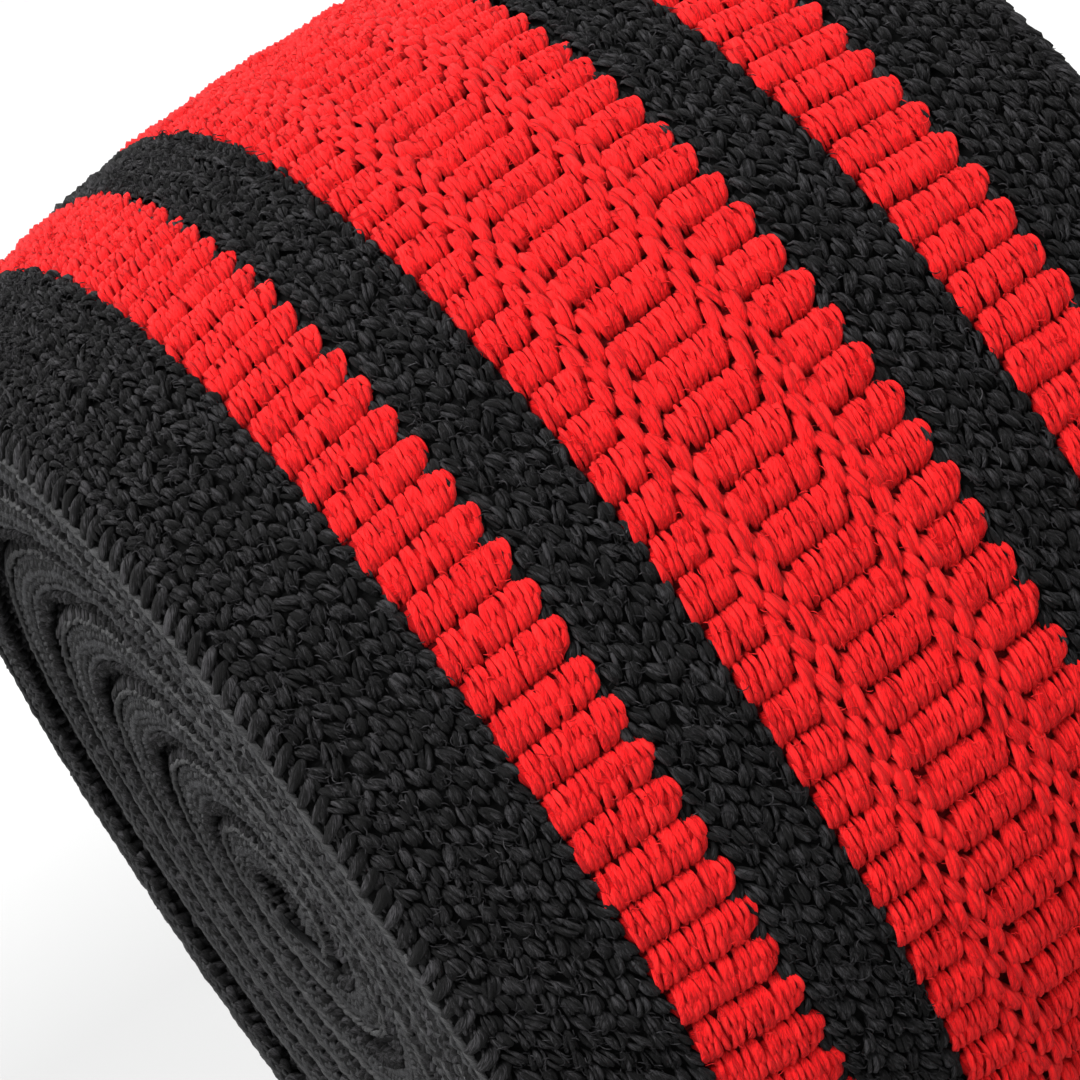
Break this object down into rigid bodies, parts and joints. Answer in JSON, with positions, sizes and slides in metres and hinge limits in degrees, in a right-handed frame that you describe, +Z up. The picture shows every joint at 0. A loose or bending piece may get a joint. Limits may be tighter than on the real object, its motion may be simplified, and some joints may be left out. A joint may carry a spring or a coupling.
{
  "type": "hand wrap",
  "caption": "Rolled hand wrap: a thick ribbed elastic band with long stripes, wound into an oval roll, its outer end held by a hook closure strap.",
  "frame": {"origin": "middle of the flat patch that the roll rests on, under its axis", "axes": "+X along the roll's axis, across the band's width; +Y to the back, where the outer end lies; +Z up"},
  "size_m": [0.05, 0.087, 0.0702],
  "materials": {
    "black_yarn": "knitted textured yarn, matte with a faint sheen",
    "red_yarn": "knitted textured yarn, matte with a faint sheen",
    "rubber_thread": "square cut latex thread",
    "sewing_thread": "twisted polyester thread",
    "binding_tape": "plain woven tape",
    "strap_webbing": "ribbed nylon webbing",
    "hook_tape": "moulded hook tape",
    "loop_elastic": "braided flat elastic"
  },
  "bodies": {
    "roll": {"core_end_overlock": "sewing_thread", "far_edge_black": "black_yarn", "far_inner_black": "black_yarn", "far_red_stripe": "red_yarn", "far_selvedge": "black_yarn", "near_edge_black": "black_yarn", "near_inner_black": "black_yarn", "near_red_stripe": "red_yarn", "near_selvedge": "black_yarn", "rubber_threads": "rubber_thread", "thumb_loop": "loop_elastic", "thumb_loop_bartack": "sewing_thread", "wide_stripe_centre_rib": "red_yarn", "wide_stripe_far_openwork": "red_yarn", "wide_stripe_far_rib": "red_yarn", "wide_stripe_near_openwork": "red_yarn", "wide_stripe_near_rib": "red_yarn"},
    "loose_end": {"tail_binding_stitches": "sewing_thread", "tail_end_binding": "binding_tape", "tail_far_edge_black": "black_yarn", "tail_far_inner_black": "black_yarn", "tail_far_red_stripe": "red_yarn", "tail_far_selvedge": "black_yarn", "tail_near_edge_black": "black_yarn", "tail_near_inner_black": "black_yarn", "tail_near_red_stripe": "red_yarn", "tail_near_selvedge": "black_yarn", "tail_rubber_threads": "rubber_thread", "tail_wide_stripe": "red_yarn"},
    "closure": {"closure_hook_tape": "hook_tape", "closure_stitches": "sewing_thread", "closure_strap": "strap_webbing"}
  },
  "joints": [
    {"name": "loose_end_peel", "type": "hinge", "parent": "roll", "child": "loose_end", "pos_m": [0, 0.00312, 0.07017], "axis": [1, 0, 0], "range_deg": [0, 75]},
    {"name": "closure_peel", "type": "hinge", "parent": "loose_end", "child": "closure", "pos_m": [0, 0.03572, 0.05731], "axis": [1, 0, 0], "range_deg": [0, 110]}
  ]
}
